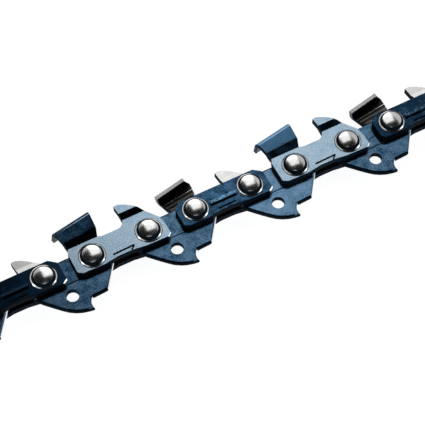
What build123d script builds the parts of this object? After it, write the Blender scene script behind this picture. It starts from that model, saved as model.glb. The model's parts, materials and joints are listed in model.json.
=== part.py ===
from build123d import *

import os
from math import cos, radians, sin

# A closed loop of low-profile saw chain, lying on its side. Drive links and side links take turns
# round it, and a side link is a cutter and a tie strap riveted together on either side of the drive
# links. In a link's own frame the rear rivet is at the origin, +X is the way the chain runs, +Y points
# out of the loop and Z lies across the chain. The loop's frame has its centre at the origin, +Z up,
# with the long runs along X.

# Driving dimensions in millimetres and degrees

# Loop
drive_links = 24            # drive links in the loop, an even number
detailed_links = 6          # side links whose cutter, strap and rivets have nodes of their own
drive_spacing = 8.54        # between the two rivets of a drive link
side_spacing = 10.10        # between the two rivets of a side link

# Thicknesses
gauge = 1.10                # drive links, which run in the guide bar's groove
plate_thickness = 1.20      # cutters and tie straps
side_play = 0.05            # between a drive link and each side plate

# Rivets
hub_diameter = 3.30         # bearing that the drive link turns on
hub_clearance = 0.05        # radial
shank_diameter = 2.40       # ends that pass through the side plates
shank_clearance = 0.02      # radial
head_diameter = 4.40
head_height = 0.75
crown_diameter = 2.80       # flat top of a head

# Drive link
drive_end_radius = 3.30     # round ends about the rivets
drive_top = 2.15            # top edge above the rivets
heel_back = 3.05            # rear corner of the tang, behind the rear rivet
heel_depth = 2.45
belly_bulge = 0.93          # how far the tang's belly curves out from a straight line
tip_forward = 5.20          # hooked tip, ahead of the rear rivet
tip_depth = 8.00
throat_back = 0.45          # how far the hook is hollowed behind its tip
notch_forward = 0.40        # top of the hook, ahead of the tip
notch_depth = 6.05
shoulder_back = 0.15        # lower front corner, behind the front rivet
shoulder_depth = 5.95
breast_angle = 32           # where the front edge meets the round end, below the rivet line
oil_hole_diameter = 2.20
oil_hole_forward = 2.90     # ahead of the rear rivet
oil_hole_depth = 4.50

# Side plates
plate_bottom = 2.30         # lower edge below the rivets
corner_length = 0.80        # bevelled lower corners, along the plate
corner_height = 0.50
strap_reach = 3.05          # ends past the rivets
strap_top = 2.45
strap_shoulder = 1.05       # sloping upper corners of a strap
strap_waist = 0.25          # hollow of a strap's lower edge
rib_top = 0.45              # stiffening rib between a strap's rivet heads
rib_ridge = -0.30
rib_bottom = -0.90
rib_height = 0.25
rib_gap = 0.25              # rib to rivet head

# Cutter
kerf = 5.20                 # over the working corners of a left and a right cutter
rear_reach = 3.35           # rear end behind the rear rivet
front_reach = 2.95          # front end past the front rivet
cutter_waist = 0.45         # hollow of the lower edge
crease_height = 2.75        # where the side wall starts to lean out
crease_back = 3.05          # rear end of that crease, behind the rear rivet
rear_corner_height = 2.00   # foot of the bevel below the crease
working_corner_forward = 2.55
working_corner_height = 7.25
heel_height = 6.35          # rear end of the sloping top plate
heel_rake = 16              # lean of the rear edge
top_plate_angle = 32        # sweep of the front cutting edge
top_plate_thickness = 0.70
top_plate_end = 0.30        # inner end of the top plate, from the middle of the chain
corner_break = 0.40         # bevel along the outer top corner
gullet_height = 2.55
gullet_rear = 3.00          # flat floor of the gullet, ahead of the rear rivet
gullet_front = 4.50         # behind the front rivet
gullet_hollow = 0.45        # hollow of the curve up to the depth gauge
gauge_base = 2.95           # foot of the depth gauge's rear edge, behind the front rivet
gauge_crease_height = 3.62
gauge_bend_height = 4.75
gauge_offset = 0.50         # how far the upper gauge stands out from the plate
gauge_tip_back = 3.20       # behind the front rivet
gauge_tip_height = 6.10
gauge_crown_back = 2.50
gauge_crown_height = 6.20
gauge_bulge = 0.35          # curve of the ramp in front of the crown
ramp_foot = 1.10            # front end of the ramp at the crease, past the front rivet
nose_back = 0.25            # upper front corner behind the front end
nose_height = 1.45

# Places across the chain, from its middle outwards
plate_inner = gauge / 2 + side_play
plate_outer = plate_inner + plate_thickness
head_top = plate_outer + head_height
side_reach = kerf / 2
rest_height = max(side_reach, head_top)

rivet_places = [(0, 0), (side_spacing, 0)]

# A drive link: a round-ended body with a hooked tang that reaches into the guide bar's groove.
with BuildPart() as drive_link:
    with BuildSketch():
        with Locations((drive_spacing / 2, 0)):
            SlotCenterToCenter(drive_spacing, 2 * drive_end_radius)
        with BuildLine():
            tang_root = (-drive_end_radius, 0)
            heel = (-heel_back, -heel_depth)
            tip = (tip_forward, -tip_depth)
            notch = (tip_forward + notch_forward, -notch_depth)
            throat = (tip_forward - throat_back / 2, -(tip_depth + notch_depth) / 2)
            shoulder = (drive_spacing - shoulder_back, -shoulder_depth)
            breast = (
                drive_spacing + drive_end_radius * cos(radians(breast_angle)),
                -drive_end_radius * sin(radians(breast_angle)),
            )
            Line(tang_root, heel)
            SagittaArc(heel, tip, -belly_bulge)
            ThreePointArc(tip, throat, notch)
            Polyline(notch, shoulder, breast, tang_root)
        make_face()
        with Locations((drive_spacing / 2, drive_top)):
            Rectangle(
                drive_spacing + 2 * drive_end_radius,
                drive_end_radius,
                align=(Align.CENTER, Align.MIN),
                mode=Mode.SUBTRACT,
            )
    extrude(amount=gauge / 2, both=True)
    with Locations((0, 0), (drive_spacing, 0)):
        Hole(hub_diameter / 2 + hub_clearance)
    with Locations((oil_hole_forward, -oil_hole_depth)):
        Hole(oil_hole_diameter / 2)

# A rivet: a hub that the drive link turns on, a shank through each side plate, and two heads.
with BuildPart() as rivet:
    with BuildSketch(Plane.XZ):
        with BuildLine():
            upper_half = Polyline(
                (0, head_top),
                (crown_diameter / 2, head_top),
                (head_diameter / 2, plate_outer),
                (shank_diameter / 2, plate_outer),
                (shank_diameter / 2, plate_inner),
                (hub_diameter / 2, plate_inner),
                (hub_diameter / 2, 0),
            )
            mirror(upper_half, about=Plane.XZ)
            Line((0, -head_top), (0, head_top))
        make_face()
    revolve(axis=Axis.Z)

with BuildPart() as rivet_pair:
    with Locations(*rivet_places):
        add(rivet.part)


def lower_edge(rear, front, waist):
    """The lower edge of a side plate: a bevelled corner at each end and a hollow between the rivets."""
    middle = (side_spacing / 2, waist - plate_bottom)
    Polyline((rear, corner_height - plate_bottom), (rear + corner_length, -plate_bottom), (0, -plate_bottom))
    ThreePointArc((0, -plate_bottom), middle, (side_spacing, -plate_bottom))
    Polyline(
        (side_spacing, -plate_bottom),
        (front - corner_length, -plate_bottom),
        (front, corner_height - plate_bottom),
    )


# A tie strap before its holes are punched, on the far side of a right-hand side link.
with BuildPart() as strap_blank:
    with BuildSketch(Plane.XY.offset(-plate_outer)):
        with BuildLine():
            strap_rear = -strap_reach
            strap_front = side_spacing + strap_reach
            lower_edge(strap_rear, strap_front, strap_waist)
            Polyline(
                (strap_front, corner_height - plate_bottom),
                (strap_front, strap_top - strap_shoulder),
                (strap_front - strap_shoulder, strap_top),
                (strap_rear + strap_shoulder, strap_top),
                (strap_rear, strap_top - strap_shoulder),
                (strap_rear, corner_height - plate_bottom),
            )
        make_face()
    extrude(amount=plate_thickness)
    rib_start = head_diameter / 2 + rib_gap
    with BuildSketch(Plane.YZ.offset(rib_start)):
        with BuildLine():
            Polyline(
                (rib_top, -plate_outer),
                (rib_ridge, -plate_outer - rib_height),
                (rib_bottom, -plate_outer),
                close=True,
            )
        make_face()
    extrude(amount=side_spacing - 2 * rib_start)

# The leaning side wall and the top plate of a right-hand cutter, as one bent section that gets lower
# towards the heel. The front is ground back from the working corner.
front_wall = working_corner_height - crease_height
rear_wall = (heel_height - crease_height) / cos(radians(heel_rake))
front_plane = Plane((working_corner_forward, crease_height, 0), x_dir=(0, 0, 1), z_dir=(-1, 0, 0))
rear_plane = Plane(
    (-crease_back, crease_height, 0),
    x_dir=(0, 0, 1),
    z_dir=(-cos(radians(heel_rake)), -sin(radians(heel_rake)), 0),
)
lean = side_reach - plate_outer

with BuildPart() as cutting_hook:
    for section_plane, wall in ((front_plane, front_wall), (rear_plane, rear_wall)):
        with BuildSketch(section_plane):
            with BuildLine():
                under = wall - top_plate_thickness
                Polyline(
                    (plate_inner, 0),
                    (plate_outer, 0),
                    (plate_outer + lean * 2 / 3, wall * 0.3),
                    (side_reach, wall * 0.7),
                    (side_reach, wall - corner_break),
                    (side_reach - corner_break, wall),
                    (top_plate_end, wall),
                    (top_plate_end, under),
                    (side_reach - plate_thickness, under),
                    (plate_inner + lean * 2 / 3, wall * 0.35),
                    close=True,
                )
            make_face()
    loft(ruled=True)
    ground_plane = Plane(
        (working_corner_forward, 0, side_reach),
        z_dir=(cos(radians(top_plate_angle)), 0, -sin(radians(top_plate_angle))),
    )
    split(bisect_by=ground_plane, keep=Keep.BOTTOM)

# The depth gauge of a right-hand cutter, which stands out from the plate above a bend.
with BuildPart() as depth_gauge:
    gauge_rear = side_spacing - max(gauge_base, gauge_tip_back)
    with BuildSketch(Plane.YZ.offset(gauge_rear)):
        with BuildLine():
            Polyline(
                (gauge_crease_height, plate_inner),
                (gauge_crease_height, plate_outer),
                (gauge_bend_height, plate_outer + gauge_offset),
                (gauge_crown_height, plate_outer + gauge_offset),
                (gauge_crown_height, plate_inner + gauge_offset),
                (gauge_bend_height, plate_inner + gauge_offset),
                close=True,
            )
        make_face()
    extrude(amount=side_spacing + ramp_foot - gauge_rear)
    with BuildSketch():
        with BuildLine():
            gauge_foot = (side_spacing - gauge_base, gauge_crease_height)
            gauge_tip = (side_spacing - gauge_tip_back, gauge_tip_height)
            gauge_crown = (side_spacing - gauge_crown_back, gauge_crown_height)
            ramp_end = (side_spacing + ramp_foot, gauge_crease_height)
            Polyline(gauge_foot, gauge_tip, gauge_crown)
            SagittaArc(gauge_crown, ramp_end, gauge_bulge)
            Line(ramp_end, gauge_foot)
        make_face()
    extrude(amount=plate_outer + gauge_offset, mode=Mode.INTERSECT)

# A right-hand cutter before its holes are punched: its flat plate, the hook and the depth gauge.
with BuildPart() as cutter_blank:
    with BuildSketch(Plane.XY.offset(plate_inner)):
        with BuildLine():
            cutter_rear = -rear_reach
            cutter_front = side_spacing + front_reach
            gullet_end = (side_spacing - gullet_front, gullet_height)
            gullet_curve = (
                side_spacing - (gullet_front + gauge_base) / 2 + gullet_hollow / 2,
                (gullet_height + gauge_crease_height) / 2 - gullet_hollow / 2,
            )
            lower_edge(cutter_rear, cutter_front, cutter_waist)
            Polyline(
                (cutter_front, corner_height - plate_bottom),
                (cutter_front, 0),
                (cutter_front - nose_back, nose_height),
                ramp_end,
                gauge_foot,
            )
            ThreePointArc(gauge_foot, gullet_curve, gullet_end)
            Polyline(
                gullet_end,
                (gullet_rear, gullet_height),
                (working_corner_forward, crease_height),
                (-crease_back, crease_height),
                (cutter_rear, rear_corner_height),
                (cutter_rear, corner_height - plate_bottom),
            )
        make_face()
    extrude(amount=plate_thickness)
    add(cutting_hook.part)
    add(depth_gauge.part)

# The punched plates, and a whole right-hand side link in one piece.
with BuildPart() as right_cutter:
    add(cutter_blank.part)
    with Locations(*rivet_places):
        Hole(shank_diameter / 2 + shank_clearance)

with BuildPart() as far_strap:
    add(strap_blank.part)
    with Locations(*rivet_places):
        Hole(shank_diameter / 2 + shank_clearance)

with BuildPart() as right_cutter_link:
    add(cutter_blank.part)
    add(strap_blank.part)
    add(rivet_pair.part)

# The left-hand pieces are the right-hand ones mirrored across the chain.
with BuildPart() as left_cutter:
    mirror(right_cutter.part, about=Plane.XY)

with BuildPart() as near_strap:
    mirror(far_strap.part, about=Plane.XY)

with BuildPart() as left_cutter_link:
    mirror(right_cutter_link.part, about=Plane.XY)

# The loop: each half is a straight run and then a half turn, shared evenly by the pivots of the turn.
# Both halves are alike, so the loop's centre is halfway between two opposite pivots.
pivots = 2 * drive_links
run_pivots = drive_links - drive_links // 2
turn_pivots = drive_links - run_pivots
pivot_turn = 180 / turn_pivots

pivot_places = [Vector(0, 0)]
headings = []
heading = 0
for pivot in range(pivots):
    if pivot % drive_links >= run_pivots:
        heading -= pivot_turn
    spacing = drive_spacing if pivot % 2 == 0 else side_spacing
    headings.append(heading)
    pivot_places.append(pivot_places[-1] + Vector(spacing, 0).rotate(Axis.Z, heading))
loop_centre = (pivot_places[0] + pivot_places[drive_links]) / 2


def link_plane(pivot):
    """Where the link that starts at this pivot lies in the loop's frame."""
    place = pivot_places[pivot] - loop_centre
    along = Vector(1, 0).rotate(Axis.Z, headings[pivot])
    return Plane((place.X, place.Y, rest_height), x_dir=along, z_dir=(0, 0, 1))


def write_piece(name, piece, pivot):
    """Place a finished piece on its link and write it to a file of its own."""
    with BuildPart(link_plane(pivot)) as placed:
        add(piece)
    placed.part.label = name
    export_step(placed.part, f"parts/{name}.step")


os.makedirs("parts", exist_ok=True)
for number in range(1, drive_links + 1):
    drive_pivot = 2 * number - 2
    side_pivot = 2 * number - 1
    write_piece(f"drive_link_{number:02d}", drive_link.part, drive_pivot)
    right_hand = number % 2 == 0
    hand = "right" if right_hand else "left"
    if number <= detailed_links:
        cutter = right_cutter.part if right_hand else left_cutter.part
        strap = far_strap.part if right_hand else near_strap.part
        write_piece(f"{hand}_cutter_{number:02d}", cutter, side_pivot)
        write_piece(f"tie_strap_{number:02d}", strap, side_pivot)
        write_piece(f"rivets_{number:02d}", rivet_pair.part, side_pivot)
    else:
        link = right_cutter_link.part if right_hand else left_cutter_link.part
        write_piece(f"{hand}_cutter_link_{number:02d}", link, side_pivot)
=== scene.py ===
import json
import math
import random

import bmesh
import bpy
from mathutils import Matrix, Vector


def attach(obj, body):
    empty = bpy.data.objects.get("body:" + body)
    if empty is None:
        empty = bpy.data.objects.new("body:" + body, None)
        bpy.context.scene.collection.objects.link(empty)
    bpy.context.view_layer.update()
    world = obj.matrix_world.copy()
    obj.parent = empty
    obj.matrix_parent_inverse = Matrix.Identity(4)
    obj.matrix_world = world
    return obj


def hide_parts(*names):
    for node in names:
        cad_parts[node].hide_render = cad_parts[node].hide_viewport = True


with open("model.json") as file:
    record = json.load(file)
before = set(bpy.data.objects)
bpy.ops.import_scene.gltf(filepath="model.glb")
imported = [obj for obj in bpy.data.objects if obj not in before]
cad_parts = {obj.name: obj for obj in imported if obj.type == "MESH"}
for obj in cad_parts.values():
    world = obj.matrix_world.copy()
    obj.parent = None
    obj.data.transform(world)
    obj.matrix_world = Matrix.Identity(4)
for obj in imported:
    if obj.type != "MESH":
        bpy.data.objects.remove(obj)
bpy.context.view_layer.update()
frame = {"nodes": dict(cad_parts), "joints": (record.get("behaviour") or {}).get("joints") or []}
scene = bpy.context.scene
scene.view_settings.view_transform = "Standard"
print("frame loaded:", len(frame["nodes"]), "nodes")

mm = 0.001

# pivots are numbered from 1, as the joints are; the open one has no joint and lies opposite another
pivotAt = {int(joint["name"][-2:]): Vector(joint["pos_m"]) for joint in frame["joints"]}
pivotCount = len(pivotAt) + 1
openPivot = next(n for n in range(1, pivotCount + 1) if n not in pivotAt)
opposite = pivotAt[(openPivot + pivotCount // 2 - 1) % pivotCount + 1]
pivotAt[openPivot] = Vector((-opposite.x, -opposite.y, opposite.z))


def linkPlace(pivot):
    # from a link's own millimetres, with its rear rivet at the origin, to its place in the loop
    start, end = pivotAt[pivot], pivotAt[pivot % pivotCount + 1]
    heading = math.atan2(end.y - start.y, end.x - start.x)
    return Matrix.Translation(start) @ Matrix.Rotation(heading, 4, "Z") @ Matrix.Scale(mm, 4)


# materials

def hexToLinear(code):
    parts = [int(code[i:i + 2], 16) / 255 for i in (1, 3, 5)]
    return [p / 12.92 if p <= 0.04045 else ((p + 0.055) / 1.055) ** 2.4 for p in parts] + [1.0]


def addNode(tree, kind, feeds, **settings):
    node = tree.nodes.new(kind)
    for name, value in settings.items():
        setattr(node, name, value)
    for socket, feed in feeds.items():
        if isinstance(feed, bpy.types.NodeSocket):
            tree.links.new(feed, node.inputs[socket])
        else:
            node.inputs[socket].default_value = feed
    return node


# mottleMm is the cloudy oxide and grainMm the blasted skin, which is drawn several times coarser than real,
# or it wouldn't show; shares weigh the per-link tone (partly painted light falloff), mottle and grain in the
# mix from dark to light
bluedSteel = {"dark": "#152B3F", "light": "#527FA4", "mottleMm": 1.5, "grainMm": 0.24,
              "shares": (0.28, 0.40, 0.32), "roughness": (0.14, 0.24), "bumpMm": 0.002}
driveSteel = {"dark": "#183850", "light": "#7398B8", "mottleMm": 1.7, "grainMm": 0.26,
              "shares": (0.26, 0.40, 0.34), "roughness": (0.13, 0.24), "bumpMm": 0.002}
heelShadeSteel = {"dark": "#060E16", "light": "#1E374C", "mottleMm": 0.8, "grainMm": 0.24,
             "shares": (0.28, 0.40, 0.32), "roughness": (0.25, 0.40), "bumpMm": 0.003}
ribHighlightSteel = {"dark": "#14283A", "light": "#7CB5DB", "mottleMm": 0.8, "grainMm": 0.24,
               "shares": (0.28, 0.40, 0.32), "roughness": (0.20, 0.30), "bumpMm": 0.002}
platedSteel = {"dark": "#83A1B9", "light": "#C2D8E8", "mottleMm": 1.6, "grainMm": 0.22,
               "shares": (0.0, 0.45, 0.55), "roughness": (0.20, 0.30), "bumpMm": 0.004}
bareAndGlintSteel = {"dark": "#F2F2F0", "light": "#FEFEFC", "mottleMm": 1.0, "grainMm": 0.30,
             "shares": (0.2, 0.5, 0.3), "roughness": (0.24, 0.36), "bumpMm": 0.002}
innerShadeSteel = {"dark": "#0C0C0C", "light": "#2A2A29", "mottleMm": 0.9, "grainMm": 0.28,
               "shares": (0.2, 0.5, 0.3), "roughness": (0.34, 0.50), "bumpMm": 0.005}
dullSteel = {"dark": "#1C1C1B", "light": "#5C5A55", "mottleMm": 0.9, "grainMm": 0.26,
             "shares": (0.2, 0.5, 0.3), "roughness": (0.30, 0.45), "bumpMm": 0.004}
groundAndGlintSteel = {"dark": "#7E7E7B", "light": "#C4C4C1", "mottleMm": 0.5, "grainMm": 0.18,
               "shares": (0.2, 0.4, 0.4), "roughness": (0.22, 0.36), "bumpMm": 0.003}
rivetSteel = {"dark": "#E0E0DE", "light": "#FAFAF8", "mottleMm": 0.8, "grainMm": 0.20,
              "shares": (0.2, 0.6, 0.2), "roughness": (0.15, 0.18), "bumpMm": 0.0001}
shadeBlackEdge = {"dark": "#03080E", "light": "#142636", "mottleMm": 0.9, "grainMm": 0.2,
                 "shares": (0.2, 0.5, 0.3), "roughness": (0.6, 0.8), "bumpMm": 0.006}


noiseDetail = {"mottleMm": 4.0, "grainMm": 2.0}
tintRange, glossRange = (0.36, 0.64), (0.3, 0.7)      # the noise keeps near 0.5, so its middle is stretched


def finish(name, s, metallic=1.0, specular=0.5):
    material = bpy.data.materials.new(name)
    material.use_nodes = True
    tree = material.node_tree
    shader = tree.nodes["Principled BSDF"]
    shader.inputs["Metallic"].default_value = metallic
    shader.inputs["Specular IOR Level"].default_value = specular
    place = addNode(tree, "ShaderNodeTexCoord", {}).outputs["Object"]
    clouds = [addNode(tree, "ShaderNodeAttribute", {}, attribute_name="toneAndPaintedFalloff").outputs["Fac"]]
    for size, detail in noiseDetail.items():
        noise = addNode(tree, "ShaderNodeTexNoise",
                        {"Vector": place, "Scale": 1 / (s[size] * mm), "Detail": detail})
        clouds.append(noise.outputs["Fac"])
    blend = 0.0
    for cloud, share in zip(clouds, s["shares"]):
        blend = addNode(tree, "ShaderNodeMath", {0: cloud, 1: share, 2: blend},
                        operation="MULTIPLY_ADD").outputs[0]
    spread = addNode(tree, "ShaderNodeMapRange",
                     {"Value": blend, "From Min": tintRange[0], "From Max": tintRange[1]})
    tint = addNode(tree, "ShaderNodeMix", {0: spread.outputs[0], 6: hexToLinear(s["dark"]),
                                           7: hexToLinear(s["light"])}, data_type="RGBA")
    tree.links.new(tint.outputs[2], shader.inputs["Base Color"])
    low, high = s["roughness"]
    gloss = addNode(tree, "ShaderNodeMapRange", {"Value": clouds[1], "From Min": glossRange[0],
                                                 "From Max": glossRange[1], "To Min": low, "To Max": high})
    tree.links.new(gloss.outputs[0], shader.inputs["Roughness"])
    relief = addNode(tree, "ShaderNodeBump",
                     {"Height": clouds[2], "Strength": 1.0, "Distance": s["bumpMm"] * mm})
    tree.links.new(relief.outputs[0], shader.inputs["Normal"])
    return material


bluedFace = finish("blued steel plate", bluedSteel)          # tie straps, heat-blued, darkest blue
driveFace = finish("tumbled blued steel", driveSteel)        # drive links, bluing worn paler by tumbling
heelShadeFace = finish("blued steel painted dark for shade", heelShadeSteel)             # heel and inside of the top plate, painted near-black navy for the shade there
paintedHighlightFace = finish("blued steel with painted highlight", ribHighlightSteel)       # the rib's upper flank and the straps' front rim, a paler blue painted as a highlight
platedFace = finish("plated cutter steel", platedSteel)      # cutters, paler satin plating with a fine skin
bareAndGlintFace = finish("bare bright steel and painted glints", bareAndGlintSteel)            # gauge backs and the wall's leading edge, bare bright steel; on the drive links' leading edges and the plates' lower front corners, a painted highlight
innerShadeFace = finish("inside steel painted dark for shade", innerShadeSteel)      # inner faces, painted near-black for the shade between and inside the plates
dullFace = finish("dull steel inside", dullSteel)            # foot of the cutter's inner wall, rubbed grey
groundAndGlintFace = finish("ground cutting edge and painted bend highlight", groundAndGlintSteel)      # sharpened on a wheel, pale grey; also a painted highlight line along the wall's inner bend
rivetFace = finish("bright rivet steel", rivetSteel)         # spun domes, smooth
shadedEdgeFace = finish("edge painted black for shade", shadeBlackEdge, metallic=0.0, specular=0.05)   # torn and matt, painted black for the shade on the plates' edges and undersides; also the stamp grooves and the rivets' dark ring
print("materials made")


# shaping helpers, in millimetres

arcStep = math.radians(9)
cutNear, levelNear = 1e-5, 1e-4      # how close counts as on a cutting plane, and as at a height


def drawOutline(bm, points):
    # points run anticlockwise: x, y, outward bulge of the side that ends there, length cut off the corner
    last = first = bm.verts.new((points[0][0], points[0][1], 0))
    corners = [(first, points[0][3])]
    for x, y, bulge, cut in points[1:]:
        end = Vector((x, y, 0))
        if bulge:
            side = end - last.co
            half = side.length / 2
            radius = (half ** 2 + bulge ** 2) / (2 * abs(bulge))
            out = Vector((side.y, -side.x, 0)).normalized() * math.copysign(1, bulge)
            centre = (last.co + end) / 2 - out * (radius - abs(bulge))
            turn = math.copysign(2 * math.asin(half / radius), bulge)
            arc = bmesh.ops.spin(bm, geom=[last], cent=centre, axis=(0, 0, 1), angle=turn,
                                 steps=max(3, round(abs(turn) / arcStep)), use_duplicate=False)
            last = arc["geom_last"][0]
        else:
            before, last = last, bm.verts.new(end)
            bm.edges.new((before, last))
        corners.append((last, cut))
    bm.edges.new((last, first))
    for size in sorted({cut for corner, cut in corners if cut}):
        bmesh.ops.bevel(bm, geom=[corner for corner, cut in corners if cut == size], offset=size,
                        offset_type="OFFSET", affect="VERTICES", segments=5, profile=0.5, material=-1)


faceSlot, innerSlot, edgeSlot, groundAndGlintSlot, brightSlot, bluedSlot, dullSlot, heelSlot = range(8)


# drilled holes keep a crisp edge; a face whose normal rises less than flatLean counts as a rim
punch = {"holeSides": 36, "holeRim": 0.06, "rimSteps": 2, "flatLean": 0.8}


def punchPlate(outline, holes, low, high, rim):
    bm = bmesh.new()
    drawOutline(bm, outline)
    for x, y, radius in holes:
        bmesh.ops.create_circle(bm, cap_ends=False, segments=punch["holeSides"], radius=radius,
                                matrix=Matrix.Translation((x, y, 0)))
    bmesh.ops.triangle_fill(bm, use_beauty=True, use_dissolve=True, edges=bm.edges[:])
    bmesh.ops.translate(bm, vec=(0, 0, low), verts=bm.verts[:])
    top = bmesh.ops.extrude_face_region(bm, geom=bm.faces[:])["geom"]
    bmesh.ops.translate(bm, vec=(0, 0, high - low),
                        verts=[g for g in top if isinstance(g, bmesh.types.BMVert)])
    bmesh.ops.recalc_face_normals(bm, faces=bm.faces[:])
    rims = [e for e in bm.edges
            if abs(e.verts[0].co.z - e.verts[1].co.z) < 1e-6 and e.calc_face_angle(0) > 1]
    drilled = [e for e in rims if any(abs(math.dist(e.verts[0].co.xy, (x, y)) - radius) < 1e-3
                                      and abs(math.dist(e.verts[1].co.xy, (x, y)) - radius) < 1e-3
                                      for x, y, radius in holes)]
    for edges, size in (([e for e in rims if e not in drilled], rim), (drilled, punch["holeRim"])):
        bmesh.ops.bevel(bm, geom=edges, offset=size, offset_type="OFFSET", affect="EDGES",
                        segments=punch["rimSteps"], profile=0.5, material=-1)
    flat = punch["flatLean"]
    for face in bm.faces:
        lean = face.normal.z
        face.material_index = faceSlot if lean > flat else innerSlot if lean < -flat else edgeSlot
    return bm


# the lower front corner of a side plate, and the normals by which the faces round it that are painted as
# highlights are picked
glintCorner = {"at": (12.93, -2.30, 1.80), "facing": (0.378, -0.499, 0.780), "depth": 0.10,
              "forward": 0.25, "up": 0.3, "down": -0.3, "upright": 0.1}


def paintLeadingHighlights(bm):
    # at the front end the outer rim gets slot bluedSlot, on the straps a paler blue painted as a highlight
    # line; the lower corner's faces are painted bright as a glint, and the corner's tip is cut to a facet
    # that is painted bright too
    s = glintCorner
    facing = Vector(s["facing"])
    cut = bmesh.ops.bisect_plane(bm, geom=bm.verts[:] + bm.edges[:] + bm.faces[:], dist=cutNear,
                                 plane_co=Vector(s["at"]) - facing * s["depth"], plane_no=facing,
                                 clear_outer=True)
    around = [g for g in cut["geom_cut"] if isinstance(g, bmesh.types.BMEdge)]
    tip = bmesh.ops.holes_fill(bm, edges=around, sides=0)
    for face in bm.faces:
        if face.material_index == edgeSlot and face.normal.x > s["forward"]:
            if face.normal.z > s["up"]:
                face.material_index = bluedSlot
            elif face.normal.y < s["down"] and abs(face.normal.z) < s["upright"]:
                face.material_index = brightSlot
    for face in tip["faces"]:
        face.material_index = brightSlot
    return bm


def cutAcross(bm, axis, levels):
    for level in levels:
        bmesh.ops.bisect_plane(bm, geom=bm.verts[:] + bm.edges[:] + bm.faces[:], dist=cutNear,
                               plane_co=Vector(axis) * level, plane_no=axis)


def stampLines(bm, lines, face):
    # V-shaped grooves struck into the outer face: x and y of both ends, width
    tool = bmesh.new()
    for x0, y0, x1, y1, width in lines:
        run = Vector((x1 - x0, y1 - y0, 0))
        made = bmesh.ops.create_cube(tool, size=1)["verts"]
        bmesh.ops.scale(tool, vec=(run.length, width / math.sqrt(2), width / math.sqrt(2)), verts=made)
        turn = Matrix.Rotation(math.atan2(run.y, run.x), 4, "Z") @ Matrix.Rotation(math.pi / 4, 4, "X")
        bmesh.ops.transform(tool, verts=made,
                            matrix=Matrix.Translation(((x0 + x1) / 2, (y0 + y1) / 2, face)) @ turn)
    for groove in tool.faces:
        groove.material_index = edgeSlot
    holders = []
    for name, source in (("blank", bm), ("stamp", tool)):
        mesh = bpy.data.meshes.new(name)
        source.to_mesh(mesh)
        source.free()
        holders.append(bpy.data.objects.new(name, mesh))
        scene.collection.objects.link(holders[-1])
    strike = holders[0].modifiers.new("strike", "BOOLEAN")
    strike.operation, strike.solver, strike.object = "DIFFERENCE", "EXACT", holders[1]
    strike.material_mode, strike.use_self = "INDEX", True
    blank = holders[0].evaluated_get(bpy.context.evaluated_depsgraph_get())
    struck = bpy.data.meshes.new_from_object(blank)
    out = bmesh.new()
    out.from_mesh(struck)
    for holder in holders:
        mesh = holder.data
        bpy.data.objects.remove(holder)
        bpy.data.meshes.remove(mesh)
    bpy.data.meshes.remove(struck)
    return out


def smooth(x):
    x = min(1.0, max(0.0, x))
    return x * x * (3 - 2 * x)


# drive link: round ends about the rivets, hooked tang, oil hole

driveLink = {
    "outline": [(-2.50, 2.15, 0, 0.20), (-3.30, 0.00, 0.206, 0), (-2.80, -2.50, 0, 0.40),
                (0.55, -6.05, 0.04, 0.50), (5.22, -8.06, 0.50, 0.12), (5.80, -6.10, -0.36, 0.12),
                (8.50, -5.98, 0, 0.30), (11.55, -1.75, 0, 0), (11.04, 2.15, 0.641, 0.20)],
    "holes": [(0, 0, 1.70), (8.54, 0, 1.70), (2.90, -4.50, 1.05)],
    "half": 0.51, "rim": 0.34,
    "hookTip": (5.22, -8.06), "tipReach": 0.62, "tipInside": (4.79, -7.92),
    "stepAt": -2.42, "stepWidth": 0.16, "step": 0.09,      # the body is a shade thicker than the tang
    "leadingLean": 0.55, "holeMargin": 0.1,
}


def makeDriveLink(s):
    oilX, oilY, oilRadius = s["holes"][-1]
    bm = punchPlate(s["outline"], s["holes"], -s["half"], s["half"], s["rim"])
    for level in (-s["half"], s["half"]):
        # the rim is wider than the hook's point is round, so its crossed inner corners are drawn into one
        crossed = [v for v in bm.verts if abs(v.co.z - level) < levelNear
                   and math.dist(v.co.xy, s["hookTip"]) < s["tipReach"]]
        bmesh.ops.pointmerge(bm, verts=crossed, merge_co=(*s["tipInside"], level))
    cutAcross(bm, (0, 1, 0), (s["stepAt"], s["stepAt"] + s["stepWidth"]))
    for vert in bm.verts:
        if vert.co.y > s["stepAt"] + s["stepWidth"] / 2:
            vert.co.z *= 1 + s["step"] / s["half"]
    for face in bm.faces:
        fromHole = math.dist(face.calc_center_median().xy, (oilX, oilY)) - oilRadius
        if face.material_index == innerSlot:
            face.material_index = faceSlot
        elif face.normal.x > s["leadingLean"] and fromHole > s["holeMargin"]:
            face.material_index = brightSlot      # leading edges, painted bright as a rim highlight
    return bm


# tie strap: plain side plate with a pressed rib between its rivets

plateLow, plateHigh = 0.60, 1.80      # inner and outer face, from the middle of the chain
rivetSpan = 10.10
boltHoles = [(0, 0, 1.22), (rivetSpan, 0, 1.22)]

tieStrap = {
    "outline": [(-3.05, -1.80, 0, 0.25), (-2.25, -2.32, 0, 0.30), (1.30, -2.40, 0, 0),
                (8.70, -2.44, -0.36, 0), (12.70, -2.52, 0, 0.12), (13.28, -2.08, 0, 0.12),
                (13.20, 1.40, 0, 0.30), (11.85, 2.47, 0, 0.06), (-2.00, 2.45, 0, 0.20),
                (-3.05, 1.40, 0, 0.30)],
    "rim": 0.06,
    "rib": (0.40, -0.36, -0.76), "ribEnds": (2.45, 2.80, 7.30, 7.65), "ribHeight": 0.25,
    "stamp": [(3.40, -1.57, 6.70, -1.57, 0.32)],
}


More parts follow.
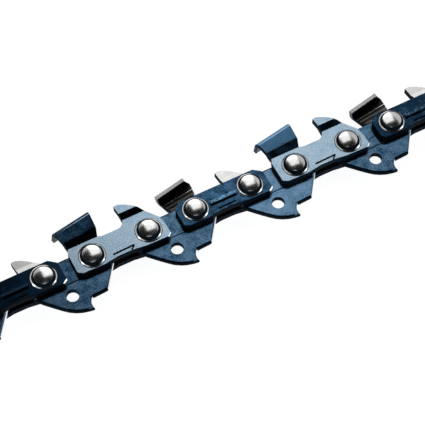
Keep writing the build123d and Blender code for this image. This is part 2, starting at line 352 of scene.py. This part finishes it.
def makeTieStrap(s):
    bm = punchPlate(s["outline"], boltHoles, plateLow, plateHigh, s["rim"])
    bm = stampLines(bm, s["stamp"], plateHigh)
    upper, ridge, lower = s["rib"]
    rear, rearTop, frontTop, front = s["ribEnds"]
    cutAcross(bm, (0, 1, 0), (upper, (upper + ridge) / 2, ridge, lower))
    cutAcross(bm, (1, 0, 0), s["ribEnds"])
    for vert in bm.verts:
        x, y, z = vert.co
        if z > plateHigh - levelNear and lower < y < upper and rear < x < front:
            rise = (upper - y) / (upper - ridge) if y > ridge else (y - lower) / (ridge - lower)
            ends = min(1, (x - rear) / (rearTop - rear), (front - x) / (front - frontTop))
            vert.co.z += s["ribHeight"] * rise * ends
    # the rib's upper flank takes slot bluedSlot, the strap's paler blue: a painted highlight on the flank
    # that faces the light
    for face in bm.faces:
        middle = face.calc_center_median()
        if middle.z > plateHigh and ridge < middle.y < upper and rear < middle.x < front:
            face.material_index = bluedSlot
    return paintLeadingHighlights(bm)


# cutter: one bent blank with the leaning wall and top plate at the rear, and the depth gauge in front

cutter = {
    "outline": [(-3.40, -1.80, 0, 0.15), (-2.55, -2.32, 0, 0.15), (1.30, -2.40, 0, 0),
                (8.70, -2.44, -0.38, 0), (12.60, -2.52, 0, 0.12), (13.15, -2.08, 0, 0.12),
                (13.10, 0.00, 0, 0.15), (12.80, 1.45, 0, 0.15), (11.27, 3.45, 0, 0.30),
                (7.50, 6.46, 0.40, 0.25), (6.78, 6.36, 0, 0.10), (7.08, 3.62, 0, 0.20),
                (5.60, 2.55, -0.32, 0), (3.00, 2.55, 0, 0.20), (2.55, 2.72, 0, 0.10)],
    "rearShoulder": (-3.40, 2.00, 0, 0.15), "rim": 0.06,
    "crease": 2.75, "wallRear": -3.05, "wallFront": 2.06,
    # each bend of the wall: length along its outer face, heading from upright at its start and end
    "bends": [(0.30, 0, 28), (0.91, 28, 28), (0.45, 28, 4), (2.523, 4, 4), (1.148, 4, -90), (1.60, -90, -90)],
    "cuts": (3, 1, 4, 1, 10, 1), "topBend": 4,
    "bendGlint": (4.19, 4.31), "innerBendGlint": (2.85, 2.97), "foot": 2.20, "heel": 3.95,
    "thickness": (1.20, 0.75, 0.68),      # at the crease, at the top bend, at the top plate's end
    "corner": (2.80, 2.60), "sweep": 32, "rake": 16,
    "heelSweep": 0.14, "wallHeight": 4.80, "heelDrop": 1.18,
    "margin": 0.1, "creaseMargin": 0.02, "edgeLean": 0.5,
    "gauge": (3.62, 4.75, 0.50), "gaugeRear": 5.9, "gullet": 2.3,
    "stamp": [(3.07, -1.43, 6.90, -1.33, 0.34), (6.90, -1.33, 6.12, -1.98, 0.28)],
}


def bendPath(bends, along):
    # height, outward shift and heading of the wall's outer face at a length along it
    height = shift = 0.0
    for length, start, end in bends:
        start, end = math.radians(start), math.radians(end)
        part = min(1.0, along / length)
        heading = start + (end - start) * part
        if start == end:
            height += along * math.cos(heading) if part < 1 else length * math.cos(heading)
            shift += along * math.sin(heading) if part < 1 else length * math.sin(heading)
        else:
            radius = length / (end - start)
            height += radius * (math.sin(heading) - math.sin(start))
            shift += radius * (math.cos(start) - math.cos(heading))
        along -= length
        if along <= 0:
            break
    return height, shift, heading


def makeCutter(s):
    crease, rear, front = s["crease"], s["wallRear"], s["wallFront"]
    wallEnd, turned = front + s["margin"], s["edgeLean"]
    flap = crease + sum(length for length, start, end in s["bends"])
    wall = [(front, crease, 0, 0), (front, flap, 0, 0), (rear, flap, 0, 0), (rear, crease, 0, 0)]
    outline = s["outline"] + wall + [s["rearShoulder"]]
    bm = punchPlate(outline, boltHoles, plateLow, plateHigh, s["rim"])
    for face in bm.faces:
        middle = face.calc_center_median()
        onWall = middle.y > crease + s["creaseMargin"] and middle.x < wallEnd
        if onWall and face.material_index == edgeSlot:
            lean = face.normal.x
            face.material_index = edgeSlot if lean < -turned else brightSlot if lean > turned else groundAndGlintSlot
    bm = stampLines(bm, s["stamp"], plateHigh)
    levels, level = [], crease
    for (length, start, end), cuts in zip(s["bends"], s["cuts"]):
        levels += [level + length * n / cuts for n in range(cuts)]
        level += length
    gaugeLow, gaugeHigh, gaugeOffset = s["gauge"]
    marks = [crease + along for along in s["bendGlint"] + s["innerBendGlint"] + (s["foot"],)]
    cutAcross(bm, (0, 1, 0), sorted(levels + marks + [s["gullet"], gaugeLow, gaugeHigh]))
    for face in bm.faces:
        middle = face.calc_center_median()
        along = middle.y - crease
        if along > 0 and middle.x < wallEnd:
            # the wall's outer face is blued, but for a thin band along the top bend left in the pale plating:
            # a painted highlight
            if face.material_index == faceSlot and not s["bendGlint"][0] < along < s["bendGlint"][1]:
                face.material_index = bluedSlot
            # a thin pale line on the wall's inner face, in the ground steel, is a painted highlight along the
            # inner bend
            elif face.material_index == innerSlot and s["innerBendGlint"][0] < along < s["innerBendGlint"][1]:
                face.material_index = groundAndGlintSlot
            elif face.material_index == innerSlot and along < s["foot"]:
                face.material_index = dullSlot
            # edges and inner faces past the heel are painted dark navy: painted shade inside the hook
            elif face.material_index in (edgeSlot, innerSlot) and along > s["heel"]:
                face.material_index = heelSlot
        elif face.material_index == faceSlot and gaugeLow < middle.y < gaugeHigh:
            face.material_index = bluedSlot
    cornerX, cornerZ = s["corner"]
    root, bend, end = s["thickness"]
    bendStart = sum(part[0] for part in s["bends"][:s["topBend"]])
    total = flap - crease
    rake, sweep = math.tan(math.radians(s["rake"])), math.tan(math.radians(s["sweep"]))
    for vert in bm.verts:
        x, y, z = vert.co
        if x < wallEnd and y > crease - cutNear:
            along, share = y - crease, (x - rear) / (front - rear)
            height, shift, heading = bendPath(s["bends"], along)
            thick = root + (bend - root) * smooth(along / bendStart)
            thick += (end - bend) * smooth((along - bendStart) / (total - bendStart))
            deep = thick * (plateHigh - z) / (plateHigh - plateLow)
            height += deep * math.sin(heading)
            z = plateHigh + shift - deep * math.cos(heading)
            height -= (1 - share) * s["heelDrop"] * min(1, height / (s["wallHeight"] - bend))
            back = rear - rake * height - s["heelSweep"] * max(0, along - bendStart)
            fore = cornerX + sweep * (z - cornerZ)
            vert.co = (back + share * (fore - back), crease + height, z)
        elif x > s["gaugeRear"] and y > gaugeLow:
            vert.co.z += gaugeOffset * min(1, (y - gaugeLow) / (gaugeHigh - gaugeLow))
    for face in bm.faces:
        middle = face.calc_center_median()
        if face.material_index == innerSlot and middle.x > s["gaugeRear"] and middle.y > s["gullet"]:
            face.material_index = brightSlot
    return paintLeadingHighlights(bm)


# rivet: hub, shank and two domed heads with a thin spun lip, turned about its axis

rivet = {"crownRadius": 6.5, "crown": 2.595, "crownSteps": 8,
         "shoulderAt": 1.58, "shoulderRadius": 0.46, "shoulderEnd": 80, "shoulderSteps": 7,
         "lip": [(1.91, 1.87), (1.96, 1.96), (2.00, 1.975), (2.17, 1.86), (2.27, 1.83), (2.28, 1.80)],
         "hub": 1.65, "shank": 1.20, "darkFrom": 1.50, "darkTo": 1.95, "lipTop": 2.19, "steps": 44}


def makeRivets(s):
    bm = bmesh.new()
    lean = math.asin(s["shoulderAt"] / s["crownRadius"])
    pole = bm.verts.new((0, 0, s["crown"]))
    last = bmesh.ops.spin(bm, geom=[pole], cent=(0, 0, s["crown"] - s["crownRadius"]), axis=(0, 1, 0),
                          angle=lean, steps=s["crownSteps"], use_duplicate=False)["geom_last"][0]
    inward = Vector((-math.sin(lean), 0, -math.cos(lean)))
    last = bmesh.ops.spin(bm, geom=[last], cent=last.co + inward * s["shoulderRadius"], axis=(0, 1, 0),
                          angle=math.radians(s["shoulderEnd"]) - lean, steps=s["shoulderSteps"],
                          use_duplicate=False)["geom_last"][0]
    inner = [(s["shank"], plateHigh), (s["shank"], plateLow), (s["hub"], plateLow), (s["hub"], 0)]
    for r, z in s["lip"] + inner:
        before, last = last, bm.verts.new((r, 0, z))
        bm.edges.new((before, last))
    bmesh.ops.mirror(bm, geom=bm.verts[:] + bm.edges[:], matrix=Matrix(), merge_dist=1e-4, axis="Z")
    bmesh.ops.spin(bm, geom=bm.verts[:] + bm.edges[:], cent=(0, 0, 0), axis=(0, 0, 1), angle=2 * math.pi,
                   steps=s["steps"], use_merge=True, use_duplicate=False)
    bmesh.ops.remove_doubles(bm, verts=bm.verts[:], dist=1e-4)
    for face in bm.faces:
        middle = face.calc_center_median()
        reach = middle.xy.length
        # the dome's shoulder, the groove and the lip's outer wall take the black edge material: a painted
        # dark reflection, for the dark the dome's steep sides mirror
        darkMirrorRing = s["darkFrom"] < reach < s["darkTo"] or reach > s["lipTop"]
        face.material_index = 1 if abs(middle.z) > plateHigh and darkMirrorRing else 0
    second = bmesh.ops.duplicate(bm, geom=bm.verts[:] + bm.edges[:] + bm.faces[:])["geom"]
    bmesh.ops.translate(bm, vec=(rivetSpan, 0, 0),
                        verts=[g for g in second if isinstance(g, bmesh.types.BMVert)])
    return bm


masters = {"driveLink": makeDriveLink(driveLink), "tieStrap": makeTieStrap(tieStrap),
           "cutter": makeCutter(cutter), "rivets": makeRivets(rivet)}
for name, bm in masters.items():
    bmesh.ops.recalc_face_normals(bm, faces=bm.faces[:])
    openEdges = sum(1 for e in bm.edges if len(e.link_faces) != 2)
    print("shaped", name, len(bm.faces), "faces,", openEdges, "open edges")


# every link of the loop gets its own copies

dress = {"driveLink": [driveFace, driveFace, shadedEdgeFace, shadedEdgeFace, bareAndGlintFace],
         "tieStrap": [bluedFace, innerShadeFace, shadedEdgeFace, shadedEdgeFace, bareAndGlintFace, paintedHighlightFace],
         "cutter": [platedFace, innerShadeFace, shadedEdgeFace, groundAndGlintFace, bareAndGlintFace, bluedFace, dullFace, heelShadeFace],
         "rivets": [rivetFace, shadedEdgeFace]}
# per-link tone read off the photo link by link, partly how light the bluing came out and partly painted light
# falloff across the run; the rest are drawn by lot
toneAndPaintedFalloff = {"driveLink_02": 0.22, "driveLink_03": 0.32, "driveLink_04": 0.66, "driveLink_05": 0.32,
          "tieStrap_01": -0.3, "tieStrap_03": 0.28, "tieStrap_05": 0.0,
          "rightCutter_02": 0.05, "rightCutter_04": 1.0}
lot, lotRange = random.Random(24), (0.25, 0.75)
flip = Matrix.Scale(-1, 4, (0, 0, 1))      # the other hand, across the chain
smoothUnder = math.radians(17)


def placePiece(kind, name, pivot, body, node, slot, mirrored=False):
    bm = masters[kind].copy()
    bm.transform(linkPlace(pivot) @ flip if mirrored else linkPlace(pivot))
    if mirrored:
        bmesh.ops.reverse_faces(bm, faces=bm.faces[:])
    mesh = bpy.data.meshes.new(name)
    bm.to_mesh(mesh)
    bm.free()
    for material in dress[kind]:
        mesh.materials.append(material)
    # per-link tone; for the listed links it is partly painted light falloff
    tone = toneAndPaintedFalloff.get(name, lot.uniform(*lotRange))
    mesh.attributes.new("toneAndPaintedFalloff", "FLOAT", "POINT").data.foreach_set("value", [tone] * len(mesh.vertices))
    mesh.shade_smooth()
    mesh.set_sharp_from_angle(angle=smoothUnder)
    piece = bpy.data.objects.new(name, mesh)
    scene.collection.objects.link(piece)
    even = piece.modifiers.new("even shading", "WEIGHTED_NORMAL")      # wide flats stay flat beside bends
    even.weight, even.keep_sharp = 100, True
    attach(piece, body)
    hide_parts(node)
    return piece


for number in range(1, pivotCount // 2 + 1):
    tag = f"{number:02d}"
    placePiece("driveLink", "driveLink_" + tag, 2 * number - 1, "drive_" + tag, "drive_link_" + tag,
               "blued_steel")
    rightHand = number % 2 == 0
    hand = "right" if rightHand else "left"
    whole = f"{hand}_cutter_link_{tag}"      # links whose cutter, strap and rivets are one CAD solid
    nodes = [f"{hand}_cutter_{tag}", f"tie_strap_{tag}", f"rivets_{tag}"]
    if whole in frame["nodes"]:
        nodes = [whole] * 3
    side = 2 * number, "side_" + tag
    placePiece("cutter", f"{hand}Cutter_{tag}", *side, nodes[0], "blued_steel", not rightHand)
    placePiece("tieStrap", "tieStrap_" + tag, *side, nodes[1], "blued_steel", rightHand)
    placePiece("rivets", "rivets_" + tag, *side, nodes[2], "bright_steel")
for bm in masters.values():
    bm.free()


# studio: pale floor, one wide softbox behind the chain, pale walls and a dark ceiling

studio = {"floorHalf": 6.0, "floorWhite": "#A8A8A8", "floorRoughness": 0.9, "floorGlow": 0.91,
          "roomLevel": 0.006, "bandLevel": 0.55, "bandTop": (0.64, 0.78), "frontDrop": 0.18, "sideFrom": 0.45,
          "topLevel": 0.42, "topDrop": 0.19, "topEdge": (0.984, 0.992)}
# width, height, level, distance, degrees above the floor, degrees to the right of +Y, shift along its width
lamps = {"softbox": (0.246, 0.488, 1.05, 0.50, 44, 0, 0.154),
         "sideLeft": (0.14, 0.22, 2.2, 0.60, 30, -80, 0),
         "sideRight": (0.14, 0.22, 2.2, 0.60, 28, 115, 0)}
# the aim is the middle of the photographed run, and the camera was fitted to the rivets in the photo
view = {"aim": (-2.38, 34.445, 0), "fromAim": (-58.06, -111.545, 214.85), "lens": 128.15, "sensor": 36,
        "clip": (0.01, 20)}

floor = bpy.data.meshes.new("floor")
bm = bmesh.new()
bmesh.ops.create_grid(bm, x_segments=1, y_segments=1, size=studio["floorHalf"])
bm.to_mesh(floor)
bm.free()
floorCard = bpy.data.objects.new("floor", floor)
scene.collection.objects.link(floorCard)
paper = bpy.data.materials.new("white paper floor")
paper.use_nodes = True
tree = paper.node_tree
shader = tree.nodes["Principled BSDF"]
shader.inputs["Base Color"].default_value = hexToLinear(studio["floorWhite"])
shader.inputs["Roughness"].default_value = studio["floorRoughness"]
# the floor looks white to the camera and in reflections, and lights the chain only as grey paper does
path = addNode(tree, "ShaderNodeLightPath", {}).outputs
seen = path["Is Camera Ray"]
for ray in ("Is Glossy Ray", "Is Transmission Ray"):
    seen = addNode(tree, "ShaderNodeMath", {0: seen, 1: path[ray]}, operation="MAXIMUM").outputs[0]
glow = addNode(tree, "ShaderNodeMath", {0: seen, 1: studio["floorGlow"]}, operation="MULTIPLY")
shader.inputs["Emission Color"].default_value = (1, 1, 1, 1)
tree.links.new(glow.outputs[0], shader.inputs["Emission Strength"])
floor.materials.append(paper)

aim = Vector(view["aim"]) * mm + Vector((0, 0, opposite.z))
for name, (width, height, level, distance, rise, swing, shift) in lamps.items():
    lamp = bpy.data.lights.new(name, "AREA")
    lamp.shape = "RECTANGLE"
    lamp.size, lamp.size_y = width, height
    lamp.energy = level * math.pi * width * height
    rise, swing = math.radians(rise), math.radians(swing)
    away = Vector((math.sin(swing) * math.cos(rise), math.cos(swing) * math.cos(rise), math.sin(rise)))
    aside = Vector((math.cos(swing), -math.sin(swing), 0))
    box = bpy.data.objects.new(name, lamp)
    box.location = aim + away * distance + aside * shift
    box.rotation_euler = away.to_track_quat("Z", "Y").to_euler()
    scene.collection.objects.link(box)

world = bpy.data.worlds.new("room")
scene.world = world
world.use_nodes = True
tree = world.node_tree
way = addNode(tree, "ShaderNodeTexCoord", {}).outputs["Generated"]
parts = addNode(tree, "ShaderNodeSeparateXYZ", {0: way}).outputs
# pale walls all round, higher at the sides and lower in front, a dark ceiling, and a small opening overhead
ahead = addNode(tree, "ShaderNodeMath", {0: parts["Y"], 1: 0.0}, operation="MINIMUM")
lowered = addNode(tree, "ShaderNodeMath", {0: ahead.outputs[0], 1: -studio["frontDrop"], 2: parts["Z"]},
                  operation="MULTIPLY_ADD")
sideways = addNode(tree, "ShaderNodeMath", {0: parts["X"]}, operation="ABSOLUTE")
sideways = addNode(tree, "ShaderNodeMath", {0: sideways.outputs[0], 1: studio["sideFrom"]},
                   operation="SUBTRACT")
sideways = addNode(tree, "ShaderNodeMath", {0: sideways.outputs[0], 1: 0.0}, operation="MAXIMUM")
lowered = addNode(tree, "ShaderNodeMath", {0: lowered.outputs[0], 1: sideways.outputs[0]},
                  operation="SUBTRACT")
walls = addNode(tree, "ShaderNodeMapRange", {"Value": lowered.outputs[0], "From Min": studio["bandTop"][0],
                                             "From Max": studio["bandTop"][1], "To Min": studio["bandLevel"],
                                             "To Max": studio["roomLevel"]}, interpolation_type="SMOOTHSTEP")
lengthways = addNode(tree, "ShaderNodeMath", {0: parts["Y"]}, operation="ABSOLUTE")
overhead = addNode(tree, "ShaderNodeMath", {0: lengthways.outputs[0], 1: -studio["topDrop"], 2: parts["Z"]},
                   operation="MULTIPLY_ADD")
opening = addNode(tree, "ShaderNodeMapRange", {"Value": overhead.outputs[0], "From Min": studio["topEdge"][0],
                                               "From Max": studio["topEdge"][1], "To Min": 0.0,
                                               "To Max": studio["topLevel"]}, interpolation_type="SMOOTHSTEP")
level = addNode(tree, "ShaderNodeMath", {0: walls.outputs[0], 1: opening.outputs[0]}, operation="MAXIMUM")
tree.links.new(level.outputs[0], tree.nodes["Background"].inputs["Strength"])
tree.nodes["Background"].inputs["Color"].default_value = (1, 1, 1, 1)

cam = bpy.data.cameras.new("photo view")
cam.lens, cam.sensor_width = view["lens"], view["sensor"]
cam.clip_start, cam.clip_end = view["clip"]
camera = bpy.data.objects.new("photo view", cam)
camera.location = aim + Vector(view["fromAim"]) * mm
camera.rotation_euler = (aim - camera.location).to_track_quat("-Z", "Y").to_euler()
scene.collection.objects.link(camera)
scene.camera = camera
print("studio ready")
